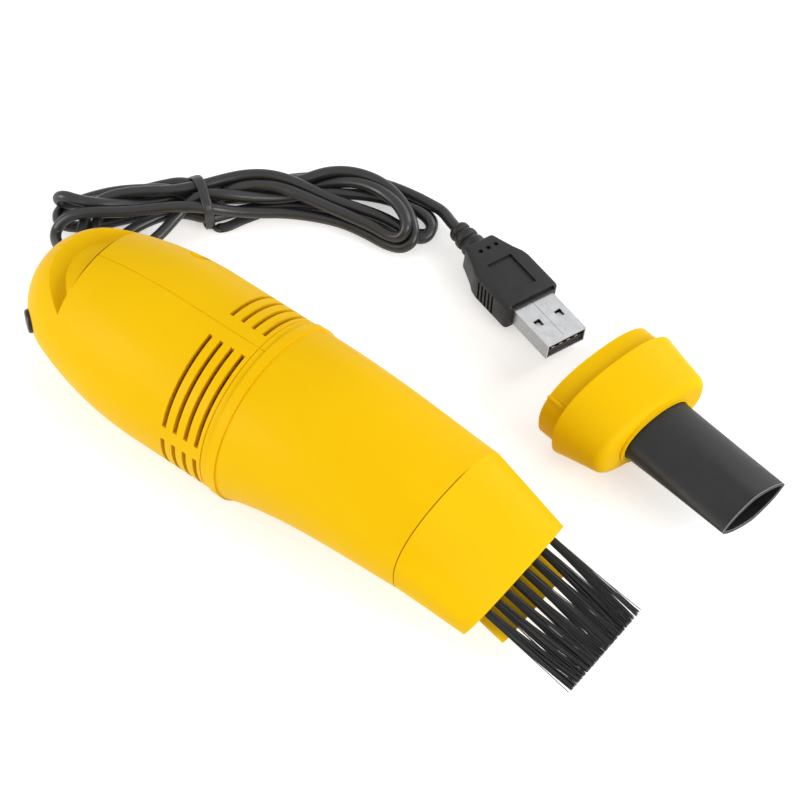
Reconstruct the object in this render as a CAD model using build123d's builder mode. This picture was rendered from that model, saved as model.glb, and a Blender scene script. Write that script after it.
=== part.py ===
from build123d import *
import os
from math import atan2, cos, degrees, pi, radians, sin, sqrt, tan

# Desktop mini vacuum cleaner: a domed motor housing in two halves, a dust cup that pulls off, a brush
# head pushed into the cup's mouth, a USB lead in a tied hank, and a spare flat nozzle lying beside it.
#
# Frame: +X runs from the dome to the brush, +Z is up and the table is Z = 0. The housing meets the
# dust cup at X = 0. Millimetres throughout.

os.makedirs("parts", exist_ok=True)

# ---------------------------------------------------------------- driving dimensions

# Motor housing, turned about an axis along X
housing_length = 69.0
housing_radius = 23.0
housing_wall = 1.8
belly_flat = 0.4              # cut off under the belly, so that it has a flat to lie on
nose_radius = 18.5
cylinder_length = 25.0        # straight part behind the joint with the cup
parting_groove = (0.25, 0.12) # wide and deep, where the two halves meet along the top
front_band = 1.8              # band between the joint and a fine groove round the housing
band_groove = (0.3, 0.2)      # wide and deep

# Finger scoop in the top of the dome: an inner dome shows through a cut with a straight front edge
scoop_front = -51.2
scoop_depth = 3.0
scoop_rim_height = 11.6       # rim above the axis at the front edge
scoop_rim_rise = 0.27         # how the rim climbs towards the rear, per unit length
scoop_floor_wall = 1.5

# Exhaust slots, four groups round the housing
slot_width = 1.2
slot_pitch = 3.2
slot_count = 4
first_slot = -13.3
slot_group_arc = 65.0
slot_group_starts = (9.0, 84.0)      # degrees from the top, the same on both sides

# Spigot that carries the dust cup
spigot_step = 2.2             # the spigot's outside below the housing's
spigot_wall = 1.4
spigot_length = 5.0
spigot_root = 2.6
cup_fit = 0.06                # radial clearance of the cup on its spigot
cup_bore_length = 6.0
seal_width = 1.4
seal_depth = 0.8
seal_fit = 0.03
seal_start = 2.6

# Screws and bosses that hold the two halves
boss_radius = 2.6
boss_places = ((-34.0, 14.8), (-34.0, -14.8), (-54.0, -9.0))     # X, and height from the axis
screw_radius = 1.2
screw_head_radius = 2.2
screw_head_height = 1.6
screw_head_seat = 5.0         # Y of the seat under the head
screw_reach = 5.5             # how far the screw enters the right half
screw_fit = 0.15
screw_grip = 0.02
screw_well_wall = 1.0

# Fan motor
motor_radius = 10.05
motor_flats = 15.1
motor_length = 25.0
motor_front = -19.5
motor_can_wall = 0.8
motor_boss_radius = 3.0
motor_boss_length = 1.5
end_cap_length = 2.4
magnet_height = 10.0
magnet_length = 16.0
magnet_front_gap = 3.0        # from the inside of the can's front
armature_gap = 0.35
armature_length = 14.0
armature_slot = (1.4, 3.4)
commutator_radius = 2.6
commutator_length = 3.0
shaft_radius = 1.0
shaft_fit = 0.04
shaft_tail = 1.4              # shaft sunk in the end cap
shaft_grip = 0.01             # of what is pressed on the shaft
terminal_spacing = 10.0
terminal_size = (4.0, 2.4, 0.5)     # long, wide, thick

# Motor mount and fan
mount_thickness = 2.0
mount_sleeve_length = 7.0
mount_sleeve_wall = 1.2
part_fit = 0.05               # clearance of pieces that drop into a seat
rib_thickness = 1.5
rib_depth = 1.9
cradle_x = -41.5
fan_gap = 0.9                 # round the fan, inside the ledge that carries the shroud
fan_front = -2.6
fan_blade_height = 8.0
fan_plate_thickness = 1.2
fan_blade_count = 10
fan_blade_thickness = 1.0
fan_blade_root = 7.5
fan_blade_curve = 14.0        # radius of a blade's sweep
fan_hub_radius = 4.0
shroud_thickness = 1.4
shroud_inlet_radius = 8.5
shroud_rear = -1.8
shroud_ledge = 1.0

# Filter, dropped into the spigot
filter_length = 4.0
filter_rim = 2.6
filter_spoke_width = 1.6
filter_spoke_depth = 1.6
filter_spoke_count = 6
filter_hub_radius = 3.0
filter_seat = 1.2             # how far the mesh overlaps its rim
filter_mesh_thickness = 0.5

# Switch button on the right of the nose
button_direction = (-0.6, -0.8, 0.0)
button_radius = 3.0
button_proud = 0.8
button_crown = 0.7
button_fit = 0.12
button_flange = 0.8
button_flange_thickness = 1.0
button_flange_gap = 0.1       # between the flange and the inside of the wall
button_stem_in = 1.6          # stem in the switch when it isn't pressed
button_travel = 1.5
button_stem_radius = 1.3
switch_size = (7.0, 6.5, 7.0)         # across, tall, deep
switch_top = 12.6             # from the centre of the nose
switch_bore_depth = 3.4
switch_holder_wall = 1.2

# Cord gland, low on the far side of the nose
gland_direction = (-0.78, 0.42, -0.46)
gland_neck_radius = 3.1
gland_flange_radius = 4.2
gland_flange_thickness = 1.1
gland_collar_radius = 3.8
gland_collar_thickness = 1.0
gland_tail_length = 8.5
gland_root_radius = 3.0
gland_tail_radius = 2.5
gland_groove_depth = 0.45
gland_groove_width = 0.9
gland_groove_count = 3

# Dust cup: round at the joint, flattened to an oval at its mouth
cup_band_length = 2.4
cup_step = 0.4                # the cup's outside above the housing's
cup_length = 53.0
cup_wall = 1.6
mouth_half_width = 20.3
mouth_half_height = 12.3
mouth_power = 2.4             # 2 is an ellipse, more is squarer
mouth_lift = 2.0              # centre of the mouth above the housing's axis
# share of the way along, then of the way from the round end to the mouth in width, in height, in lift
cup_stations = ((0.25, 0.52, 0.21, 1.15), (0.50, 0.78, 0.43, 1.45), (0.75, 0.90, 0.71, 1.25))

# Push-fit collar, the same on the brush head and the spare nozzle
collar_length = 6.2
collar_wall = 1.4
collar_fit = 0.08

# Brush head, bent down from the mouth
head_drop_angle = 24.0
head_reach = 19.2             # centre of its mouth ahead of the cup's mouth
head_drop = 7.1
head_half_width = 17.9
head_half_height = 7.2
head_power = 2.9
head_wall = 1.5
bulkhead_recess = 3.0
bulkhead_thickness = 3.0
duct_half_width = 11.9
duct_height = 5.8
duct_wall = 1.1
duct_offset = -3.0            # below the head's own axis
duct_reach = 8.0              # beyond the head's mouth

# Bristle tufts
tuft_count = 8
tuft_pitch = 3.55
tuft_offset = 3.1             # above the head's own axis
tuft_hole_depth = 2.0
tuft_root_radius = 1.0
tuft_tip_radius = 1.3
tuft_fit = 0.1
tuft_length = 31.5
tuft_tilt = 5.5               # how far they lift from the head's own axis

# Spare flat nozzle, lying beside the vacuum cleaner
nozzle_place = (57.4, 59.2)   # middle of the cap's rear rim
nozzle_heading = -8.8
nozzle_rise = 2.0
nozzle_roll = -3.0            # its left side is the lower one
nozzle_cap_length = 14.1
nozzle_front_half_width = 18.1
nozzle_front_half_height = 7.4
nozzle_front_power = 2.4
nozzle_edge_fillet = 3.0
nozzle_wall = 1.8
nozzle_front_wall = 2.5
nozzle_ring_width = 1.2
nozzle_ring_height = 0.6
tube_root_half_height = 5.6
tube_root_power = 2.1
tube_half_width = 10.6
tube_mouth_half_height = 4.4
tube_mouth_power = 1.5
tube_wall = 1.0
tube_reach = 46.6             # its mouth ahead of the cap's rear rim
tube_insert = 4.0

# USB plug
plug_heading = -15.6
plug_roll = -8.0              # it leans to its left
plug_front = (36.5, 69.5)     # middle of the metal shell's open end, on the table plan
plug_height = 7.6
plug_body_length = 22.5
plug_body_width = 16.0
plug_shoulder_length = 9.1
plug_neck_width = 8.6
plug_edge_fillet = 1.2
plug_rib_count = 5
plug_rib_pitch = 1.35
plug_rib_depth = 0.5
plug_rib_width = 0.65
plug_rib_middle = 8.5         # middle of the grip, behind the body's front
plug_relief_length = 8.0
plug_relief_root = 3.2
plug_relief_tip = 2.6
plug_relief_grooves = 3
plug_relief_pitch = 2.1
plug_panel = (11.0, 8.6, 0.3)       # shallow panel in each broad face: long, wide, deep
shell_width = 12.0
shell_height = 4.5
shell_wall = 0.35
shell_exposed = 13.6
shell_sunk = 5.0
shell_hole = (2.2, 2.0)
shell_hole_spacing = 6.5
shell_hole_from_front = 7.3
insulator_height = 1.9
insulator_recess = 0.6
insulator_fit = 0.02
contact_size = (7.5, 1.0, 0.3)
contact_pitch = 2.4
contact_count = 4

# Lead and hank, lying on the table behind the vacuum cleaner
cord_radius = 1.45
lead_run = 7.0                # first run, straight out of the gland
lead_points = ((-83.3, 17.4, 3.4), (-88.4, 21.9, 2.6))
tail_run = 5.8                # first run, straight out of the plug's relief
tail_points = ((-16.9, 81.9, 4.1),)
hank_height = 7.6
hank_fillet = 3.0
# outline on the table, from the left end over the far side to the plug's end and back
hank_outline = (
    (-92.4, 27.8),
    (-86.6, 35.4),
    (-77.2, 43.9),
    (-68.6, 52.3),
    (-59.6, 63.8),
    (-46.6, 73.0),
    (-33.3, 83.2),
    (-20.0, 83.8),
    (-11.0, 79.0),
    (-12.8, 69.6),
    (-27.5, 65.4),
    (-46.0, 59.0),
    (-56.5, 46.8),
    (-62.5, 35.5),
    (-76.0, 22.5),
    (-88.6, 20.3),
)
tie_place = (-62.2, 50.2)
tie_heading = 52.0
tie_width = 12.4
tie_height = 7.2
tie_corner = 3.4
tie_radius = 1.1

# ---------------------------------------------------------------- shared geometry

axis_height = housing_radius - belly_flat
housing_axis = Axis((0, 0, axis_height), (1, 0, 0))
nose_x = nose_radius - housing_length
flank_span = -cylinder_length - nose_x
flank_radius = (flank_span**2 + housing_radius**2 - nose_radius**2) / (2 * (housing_radius - nose_radius))
flank_angle = degrees(atan2(flank_radius - housing_radius, -flank_span))
mouth_height = axis_height + mouth_lift
bore_radius = housing_radius - housing_wall
spigot_radius = housing_radius - spigot_step
spigot_bore = spigot_radius - spigot_wall
fan_radius = spigot_bore - shroud_ledge - fan_gap
cup_radius = housing_radius + cup_step


def radial_plane(angle):
    """Plane through the axis: local x forward, local y outward, angle from the top towards -Y."""
    turn = radians(angle)
    return Plane(origin=(0, 0, axis_height), x_dir=(1, 0, 0), z_dir=(0, -cos(turn), -sin(turn)))


def cross_plane(x, height, tilt=0.0):
    """Plane across the vacuum cleaner: local x is +Y, local y up, its normal tilted down by tilt."""
    turn = radians(tilt)
    return Plane(origin=(x, 0, height), x_dir=(0, 1, 0), z_dir=(cos(turn), 0, -sin(turn)))


def nose_plane(direction, distance):
    """Plane facing out of the nose along a direction, distance from the centre of the nose."""
    way = Vector(*direction).normalized()
    place = Vector(nose_x, 0, axis_height) + way * distance
    return Plane(origin=place, x_dir=Vector(0, 0, 1).cross(way), z_dir=way)


def oval(half_width, half_height, power, count=24):
    """Points of a superellipse: power 2 is an ellipse, more is squarer, less is pointed."""
    angles = [2 * pi * step / count for step in range(count)]

    def along(value, size):
        return size * abs(value) ** (2 / power) * (1 if value >= 0 else -1)

    return [(along(cos(angle), half_width), along(sin(angle), half_height)) for angle in angles]


def oval_face(half_width, half_height, power):
    """Superellipse to add to a sketch."""
    with BuildSketch() as face:
        with BuildLine():
            Spline(*oval(half_width, half_height, power), periodic=True)
        make_face()
    return face.sketch


def dome(inset, front):
    """Solid inside the housing's outside, inset from it and cut off at X = front."""
    with BuildPart() as solid:
        with BuildSketch(radial_plane(0)):
            with BuildLine():
                nose = CenterArc((nose_x, 0), nose_radius - inset, flank_angle, 180 - flank_angle)
                flank = CenterArc(
                    (-cylinder_length, housing_radius - flank_radius),
                    flank_radius - inset,
                    90,
                    flank_angle - 90,
                )
                Polyline(flank @ 0, (front, housing_radius - inset), (front, 0), nose @ 1)
            make_face()
        revolve(axis=housing_axis)
    return solid.part


def ring(rear, front, inner, outer):
    """Ring about the housing's axis between two X positions and two radii."""
    with BuildPart() as solid:
        with BuildSketch(cross_plane(rear, axis_height)):
            Circle(outer)
            if inner > 0:
                Circle(inner, mode=Mode.SUBTRACT)
        extrude(amount=front - rear)
    return solid.part


def scoop_space(inset, grow):
    """Everything above the scoop's rim and behind its front edge, outside the dome at that inset."""
    front = scoop_front + grow
    rim = scoop_rim_height - grow
    rear = -housing_length - housing_radius
    with BuildPart() as solid:
        with BuildSketch(radial_plane(0)):
            with BuildLine():
                Polyline(
                    (front, rim),
                    (rear, rim + scoop_rim_rise * (front - rear)),
                    (rear, 2 * housing_radius),
                    (front, 2 * housing_radius),
                    close=True,
                )
            make_face()
        extrude(amount=housing_radius, both=True)
        add(dome(inset, 0), mode=Mode.SUBTRACT)
    return solid.part


# ---------------------------------------------------------------- motor housing

mount_front = motor_front + mount_thickness

with BuildPart() as cavity:
    add(dome(housing_wall, 0))
    add(scoop_space(scoop_depth + scoop_floor_wall, scoop_floor_wall), mode=Mode.SUBTRACT)

# Hoop under the motor's tail
with BuildPart() as cradle:
    add(ring(cradle_x, cradle_x + rib_thickness, motor_radius + part_fit, housing_radius))
    add(dome(housing_wall / 2, 0), mode=Mode.INTERSECT)

groove_wide, groove_deep = parting_groove
band_wide, band_deep = band_groove

# Shallow groove over the top, outside the dome at that depth
with BuildPart() as parting_space:
    with BuildSketch(Plane.XY.offset(axis_height)):
        with Locations((-housing_length / 2, 0)):
            Rectangle(housing_length, groove_wide)
    extrude(amount=2 * housing_radius)
    add(dome(groove_deep, 0), mode=Mode.SUBTRACT)

# The whole shell, before it is parted into halves
with BuildPart() as housing_shell:
    add(dome(0, 0))
    add(scoop_space(scoop_depth, 0), mode=Mode.SUBTRACT)
    add(cavity.part, mode=Mode.SUBTRACT)
    # spigot, with a ledge for the fan shroud and a groove for the seal
    add(ring(-spigot_root, shroud_rear, spigot_bore - shroud_ledge, bore_radius))
    add(ring(shroud_rear, 0, spigot_bore, bore_radius))
    add(ring(0, spigot_length, spigot_bore, spigot_radius))
    seal_floor = spigot_radius - seal_depth
    add(ring(seal_start, seal_start + seal_width, seal_floor, housing_radius), mode=Mode.SUBTRACT)
    # fine groove that sets off the band at the joint
    groove_floor = housing_radius - band_deep
    add(ring(-front_band - band_wide, -front_band, groove_floor, housing_radius + band_deep), mode=Mode.SUBTRACT)
    # two ribs that trap the motor mount between them
    add(ring(motor_front - rib_thickness, motor_front, bore_radius - rib_depth, bore_radius))
    add(ring(mount_front, mount_front + rib_thickness, bore_radius - rib_depth, bore_radius))
    add(cradle.part)
    # exhaust slots
    for side in (1, -1):
        for start in slot_group_starts:
            with BuildSketch(radial_plane(side * start)):
                with Locations((first_slot + slot_pitch * (slot_count - 1) / 2, housing_radius)):
                    with GridLocations(slot_pitch, 1, slot_count, 1):
                        Rectangle(slot_width, 2 * housing_wall + 0.4)
            revolve(axis=housing_axis, revolution_arc=side * slot_group_arc, mode=Mode.SUBTRACT)
    # flat under the belly
    split(bisect_by=Plane.XY, keep=Keep.TOP)
    add(parting_space.part, mode=Mode.SUBTRACT)


def boss_sketch(radius):
    """One circle at each boss, on the parting plane."""
    for x, height in boss_places:
        with Locations((x, axis_height + height)):
            Circle(radius)


def half_bosses(radius, away):
    """Bosses from the parting plane to the wall; away is -1 for the right half, 1 for the left."""
    with BuildPart() as solid:
        with BuildSketch(Plane.XZ):
            boss_sketch(radius)
        extrude(amount=-away * housing_radius)
        add(dome(housing_wall / 2, 0), mode=Mode.INTERSECT)
    return solid.part


button_hole = button_radius + button_fit
switch_across, switch_tall, switch_deep = switch_size
holder_height = 2 * (button_flange + button_radius + part_fit + switch_holder_wall)

# Socket that carries the power switch, on two plates that stand off the wall
with BuildPart() as switch_holder:
    with BuildSketch(nose_plane(button_direction, switch_top - switch_deep)):
        Rectangle(switch_across + 2 * switch_holder_wall, holder_height)
    extrude(amount=nose_radius - switch_top + switch_deep)
    with BuildSketch(nose_plane(button_direction, switch_top + part_fit)):
        Rectangle(switch_across + 4 * switch_holder_wall, holder_height - 2 * switch_holder_wall)
    extrude(amount=nose_radius, mode=Mode.SUBTRACT)
    with BuildSketch(nose_plane(button_direction, 0)):
        Rectangle(switch_across + 2 * part_fit, switch_tall + 2 * part_fit)
    extrude(amount=nose_radius, mode=Mode.SUBTRACT)
    add(dome(housing_wall / 2, 0), mode=Mode.INTERSECT)

with BuildPart() as housing_right:
    add(housing_shell.part)
    split(bisect_by=Plane.XZ, keep=Keep.TOP)
    add(half_bosses(boss_radius, -1))
    with BuildSketch(Plane.XZ):
        boss_sketch(screw_radius + screw_grip)
    extrude(amount=screw_reach + 0.5, mode=Mode.SUBTRACT)
    add(switch_holder.part)
    with BuildSketch(nose_plane(button_direction, switch_top + part_fit)):
        Circle(button_hole)
    extrude(amount=nose_radius, mode=Mode.SUBTRACT)
housing_right.part.label = "housing_right"
export_step(housing_right.part, "parts/housing_right.step")

with BuildPart() as housing_left:
    add(housing_shell.part)
    split(bisect_by=Plane.XZ, keep=Keep.BOTTOM)
    add(half_bosses(screw_head_radius + screw_fit + screw_well_wall, 1))
    with BuildSketch(Plane.XZ):
        boss_sketch(screw_radius + screw_fit)
    extrude(amount=-housing_radius, mode=Mode.SUBTRACT)
    with BuildSketch(Plane.XZ.offset(-screw_head_seat)):
        boss_sketch(screw_head_radius + screw_fit)
    extrude(amount=-housing_radius, mode=Mode.SUBTRACT)
    with BuildSketch(nose_plane(gland_direction, nose_radius / 2)):
        Circle(gland_neck_radius + part_fit)
    extrude(amount=nose_radius, mode=Mode.SUBTRACT)
housing_left.part.label = "housing_left"
export_step(housing_left.part, "parts/housing_left.step")


# Three screws that hold the halves together
with BuildPart() as housing_screws:
    with BuildSketch(Plane.XZ.offset(screw_reach)):
        boss_sketch(screw_radius)
    extrude(amount=-screw_reach - screw_head_seat)
    with BuildSketch(Plane.XZ.offset(-screw_head_seat)):
        boss_sketch(screw_head_radius)
    extrude(amount=-screw_head_height)
housing_screws.part.label = "housing_screws"
export_step(housing_screws.part, "parts/housing_screws.step")

# ---------------------------------------------------------------- motor

motor_rear = motor_front - motor_length
can_inside = motor_front - motor_can_wall
magnet_front = can_inside - magnet_front_gap
magnet_inner = motor_flats / 2 - motor_can_wall - part_fit
armature_radius = magnet_inner - armature_gap
armature_front = magnet_front - (magnet_length - armature_length) / 2
shaft_rear = motor_rear - shaft_tail
fan_plate_front = fan_front - fan_blade_height
fan_plate_rear = fan_plate_front - fan_plate_thickness


def motor_profile(inset):
    """Round motor with two flats, in the current sketch."""
    Circle(motor_radius - inset)
    Rectangle(2 * motor_radius, motor_flats - 2 * inset, mode=Mode.INTERSECT)


with BuildPart() as motor_can:
    with BuildSketch(cross_plane(motor_rear, axis_height)):
        motor_profile(0)
    extrude(amount=motor_length)
    with BuildSketch(cross_plane(motor_rear, axis_height)):
        motor_profile(motor_can_wall)
    extrude(amount=motor_length - motor_can_wall, mode=Mode.SUBTRACT)
    add(ring(motor_front, motor_front + motor_boss_length, 0, motor_boss_radius))
    add(ring(can_inside, motor_front + motor_boss_length, 0, shaft_radius + shaft_fit), mode=Mode.SUBTRACT)
motor_can.part.label = "motor_can"
export_step(motor_can.part, "parts/motor_can.step")

with BuildPart() as motor_end_cap:
    with BuildSketch(cross_plane(motor_rear - end_cap_length, axis_height)):
        motor_profile(0)
    extrude(amount=end_cap_length)
    with BuildSketch(cross_plane(motor_rear, axis_height)):
        motor_profile(motor_can_wall + part_fit)
    extrude(amount=end_cap_length / 2)
    add(ring(shaft_rear, motor_rear + end_cap_length, 0, shaft_radius + shaft_fit), mode=Mode.SUBTRACT)
motor_end_cap.part.label = "motor_end_cap"
export_step(motor_end_cap.part, "parts/motor_end_cap.step")

with BuildPart() as motor_terminals:
    long, wide, thick = terminal_size
    with BuildSketch(cross_plane(motor_rear - end_cap_length, axis_height)):
        with GridLocations(1, terminal_spacing, 1, 2):
            Rectangle(wide, thick)
    extrude(amount=-long)
motor_terminals.part.label = "motor_terminals"
export_step(motor_terminals.part, "parts/motor_terminals.step")

with BuildPart() as motor_magnets:
    with BuildSketch(cross_plane(magnet_front, axis_height)):
        Circle(motor_radius - motor_can_wall - part_fit)
        Rectangle(2 * motor_radius, magnet_height, mode=Mode.INTERSECT)
        Circle(magnet_inner, mode=Mode.SUBTRACT)
    extrude(amount=-magnet_length)
motor_magnets.part.label = "motor_magnets"
export_step(motor_magnets.part, "parts/motor_magnets.step")

with BuildPart() as motor_shaft:
    add(ring(shaft_rear, fan_front, 0, shaft_radius))
motor_shaft.part.label = "motor_shaft"
export_step(motor_shaft.part, "parts/motor_shaft.step")

# Three-pole armature with its commutator
with BuildPart() as motor_armature:
    slot_wide, slot_deep = armature_slot
    with BuildSketch(cross_plane(armature_front, axis_height)):
        Circle(armature_radius)
        with PolarLocations(armature_radius, 3):
            Rectangle(2 * slot_deep, slot_wide, mode=Mode.SUBTRACT)
    extrude(amount=-armature_length)
    add(ring(armature_front - armature_length - commutator_length, armature_front, 0, commutator_radius))
    add(ring(motor_rear, motor_front, 0, shaft_radius + shaft_grip), mode=Mode.SUBTRACT)
motor_armature.part.label = "motor_armature"
export_step(motor_armature.part, "parts/motor_armature.step")

# Disc and sleeve that carry the motor in the housing
with BuildPart() as motor_mount:
    with BuildSketch(cross_plane(motor_front - mount_sleeve_length, axis_height)):
        motor_profile(-part_fit - mount_sleeve_wall)
    extrude(amount=mount_sleeve_length)
    add(ring(motor_front, mount_front, 0, bore_radius - part_fit))
    with BuildSketch(cross_plane(motor_front - mount_sleeve_length, axis_height)):
        Circle(motor_radius + part_fit)
    extrude(amount=mount_sleeve_length, mode=Mode.SUBTRACT)
    add(ring(motor_front, mount_front, 0, motor_boss_radius + part_fit), mode=Mode.SUBTRACT)
motor_mount.part.label = "motor_mount"
export_step(motor_mount.part, "parts/motor_mount.step")

# ---------------------------------------------------------------- fan

# One swept blade, in the plane of the fan's plate
with BuildSketch() as fan_blade:
    with Locations(((fan_radius + fan_blade_root) / 2, -fan_blade_curve)):
        Circle(fan_blade_curve + fan_blade_thickness / 2)
        Circle(fan_blade_curve - fan_blade_thickness / 2, mode=Mode.SUBTRACT)
    Circle(fan_radius, mode=Mode.INTERSECT)
    Circle(fan_blade_root, mode=Mode.SUBTRACT)
    with Locations((fan_radius, 0)):
        Rectangle(2 * (fan_radius - fan_blade_root / 2), fan_blade_curve, mode=Mode.INTERSECT)

with BuildPart() as fan_impeller:
    add(ring(fan_plate_rear, fan_plate_front, 0, fan_radius))
    with BuildSketch(cross_plane(fan_plate_front, axis_height)):
        with PolarLocations(0, fan_blade_count):
            add(fan_blade.sketch)
    extrude(amount=fan_blade_height)
    add(ring(fan_plate_rear, fan_front, 0, fan_hub_radius))
    add(ring(fan_plate_rear, fan_front, 0, shaft_radius + shaft_grip), mode=Mode.SUBTRACT)
fan_impeller.part.label = "fan_impeller"
export_step(fan_impeller.part, "parts/fan_impeller.step")

shroud_front = shroud_rear + shroud_thickness

with BuildPart() as fan_shroud:
    add(ring(shroud_rear, shroud_front, shroud_inlet_radius, spigot_bore - part_fit))
fan_shroud.part.label = "fan_shroud"
export_step(fan_shroud.part, "parts/fan_shroud.step")

# ---------------------------------------------------------------- filter and seal

filter_front = shroud_front + filter_length
filter_inner = spigot_bore - part_fit - filter_rim
mesh_rear = filter_front - filter_mesh_thickness

with BuildPart() as filter_frame:
    add(ring(shroud_front, filter_front, filter_inner, spigot_bore - part_fit))
    with BuildSketch(cross_plane(mesh_rear - filter_spoke_depth, axis_height)):
        Circle(filter_hub_radius)
        with PolarLocations(filter_inner / 2, filter_spoke_count):
            Rectangle(filter_inner + filter_seat, filter_spoke_width)
    extrude(amount=filter_spoke_depth)
    add(ring(mesh_rear, filter_front, 0, filter_inner + filter_seat), mode=Mode.SUBTRACT)
filter_frame.part.label = "filter_frame"
export_step(filter_frame.part, "parts/filter_frame.step")

with BuildPart() as filter_mesh:
    add(ring(mesh_rear, filter_front, 0, filter_inner + filter_seat - part_fit))
filter_mesh.part.label = "filter_mesh"
export_step(filter_mesh.part, "parts/filter_mesh.step")

with BuildPart() as seal_ring:
    seal_inner = spigot_radius - seal_depth + seal_fit
    seal_outer = spigot_radius + cup_fit - seal_fit
    add(ring(seal_start + seal_fit, seal_start + seal_width - seal_fit, seal_inner, seal_outer))
seal_ring.part.label = "seal_ring"
export_step(seal_ring.part, "parts/seal_ring.step")

# ---------------------------------------------------------------- power switch

flange_radius = button_radius + button_flange
flange_top = sqrt((nose_radius - housing_wall) ** 2 - flange_radius**2) - button_flange_gap
button_top = nose_radius + button_proud

with BuildPart() as switch_button:
    with BuildSketch(nose_plane(button_direction, flange_top - button_flange_thickness)):
        Circle(button_radius)
    extrude(amount=button_top - flange_top + button_flange_thickness)
    crown = switch_button.faces().sort_by(Axis((0, 0, 0), button_direction))[-1]
    fillet(crown.edges(), radius=button_crown)
    with BuildSketch(nose_plane(button_direction, flange_top - button_flange_thickness)):
        Circle(flange_radius)
    extrude(amount=button_flange_thickness)
    with BuildSketch(nose_plane(button_direction, switch_top - button_stem_in)):
        Circle(button_stem_radius)
    extrude(amount=flange_top - switch_top + button_stem_in - button_flange_thickness / 2)
switch_button.part.label = "switch_button"
export_step(switch_button.part, "parts/switch_button.step")

with BuildPart() as switch_body:
    with BuildSketch(nose_plane(button_direction, switch_top - switch_deep)):
        Rectangle(switch_across, switch_tall)
    extrude(amount=switch_deep)
    with BuildSketch(nose_plane(button_direction, switch_top)):
        Circle(button_stem_radius + shaft_fit)
    extrude(amount=-switch_bore_depth, mode=Mode.SUBTRACT)
switch_body.part.label = "switch_body"
export_step(switch_body.part, "parts/switch_body.step")

# ---------------------------------------------------------------- cord gland

gland_collar_top = sqrt((nose_radius - housing_wall) ** 2 - gland_collar_radius**2) - part_fit
gland_flange_top = nose_radius + gland_flange_thickness
gland_end = gland_flange_top + gland_tail_length

with BuildPart() as cord_gland:
    with BuildSketch(nose_plane(gland_direction, nose_radius - housing_wall)):
        Circle(gland_flange_radius)
    extrude(amount=gland_flange_thickness + housing_wall)
    add(dome(-part_fit, 0), mode=Mode.SUBTRACT)
    with BuildSketch(nose_plane(gland_direction, gland_collar_top - gland_collar_thickness)):
        Circle(gland_neck_radius)
    extrude(amount=gland_flange_top - gland_collar_top + gland_collar_thickness)
    with BuildSketch(nose_plane(gland_direction, gland_collar_top - gland_collar_thickness)):
        Circle(gland_collar_radius)
    extrude(amount=gland_collar_thickness)
    # ringed tail that keeps the lead from kinking
    with BuildSketch(nose_plane(gland_direction, gland_flange_top)):
        Circle(gland_root_radius)
    with BuildSketch(nose_plane(gland_direction, gland_end)):
        Circle(gland_tail_radius)
    loft()
    for step in range(gland_groove_count):
        with BuildSketch(nose_plane(gland_direction, gland_end - 2 * (step + 1) * gland_groove_width)):
            Circle(gland_flange_radius)
            Circle(gland_tail_radius - gland_groove_depth, mode=Mode.SUBTRACT)
        extrude(amount=gland_groove_width, mode=Mode.SUBTRACT)
cord_gland.part.label = "cord_gland"
export_step(cord_gland.part, "parts/cord_gland.step")

# ---------------------------------------------------------------- dust cup


def cup_space(inset):
    """Solid inside the dust cup's outside, from the end of its band to its mouth."""
    with BuildPart() as solid:
        for share, wide, tall, lift in ((0, 0, 0, 0), *cup_stations, (1, 1, 1, 1)):
            x = cup_band_length + (cup_length - cup_band_length) * share
            half_width = housing_radius + (mouth_half_width - housing_radius) * wide
            half_height = housing_radius + (mouth_half_height - housing_radius) * tall
            power = 2 + (mouth_power - 2) * share
            with BuildSketch(cross_plane(x, axis_height + mouth_lift * lift)):
                add(oval_face(half_width - inset, half_height - inset, power))
        loft()
    return solid.part


with BuildPart() as cup_inside:
    add(cup_space(cup_wall))
    split(bisect_by=Plane.YZ.offset(cup_bore_length), keep=Keep.TOP)

with BuildPart() as dust_cup:
    add(cup_space(0))
    add(ring(0, cup_band_length, 0, cup_radius))
    add(cup_inside.part, mode=Mode.SUBTRACT)
    add(ring(0, cup_bore_length, 0, spigot_radius + cup_fit), mode=Mode.SUBTRACT)
    split(bisect_by=Plane.XY, keep=Keep.TOP)
dust_cup.part.label = "dust_cup"
export_step(dust_cup.part, "parts/dust_cup.step")

# ---------------------------------------------------------------- brush head

collar_half_width = mouth_half_width - cup_wall - collar_fit
collar_half_height = mouth_half_height - cup_wall - collar_fit
bore_half_width = collar_half_width - collar_wall
bore_half_height = collar_half_height - collar_wall
head_x = cup_length + head_reach
head_height = mouth_height - head_drop


def head_plane(along, above=0.0, tilt=0.0):
    """Plane across the brush head: along its axis from its mouth, above that axis, lifted by tilt."""
    turn = radians(head_drop_angle)
    x = head_x + along * cos(turn) + above * sin(turn)
    return cross_plane(x, head_height - along * sin(turn) + above * cos(turn), head_drop_angle - tilt)


with BuildPart() as head_inside:
    with BuildSketch(cross_plane(cup_length, mouth_height)):
        add(oval_face(bore_half_width, bore_half_height, mouth_power))
    with BuildSketch(head_plane(0)):
        add(oval_face(head_half_width - head_wall, head_half_height - head_wall, head_power))
    loft()
    with BuildSketch(head_plane(-bulkhead_recess - bulkhead_thickness)):
        Rectangle(4 * head_half_width, 4 * head_half_width)
    extrude(amount=bulkhead_thickness, mode=Mode.SUBTRACT)

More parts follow.
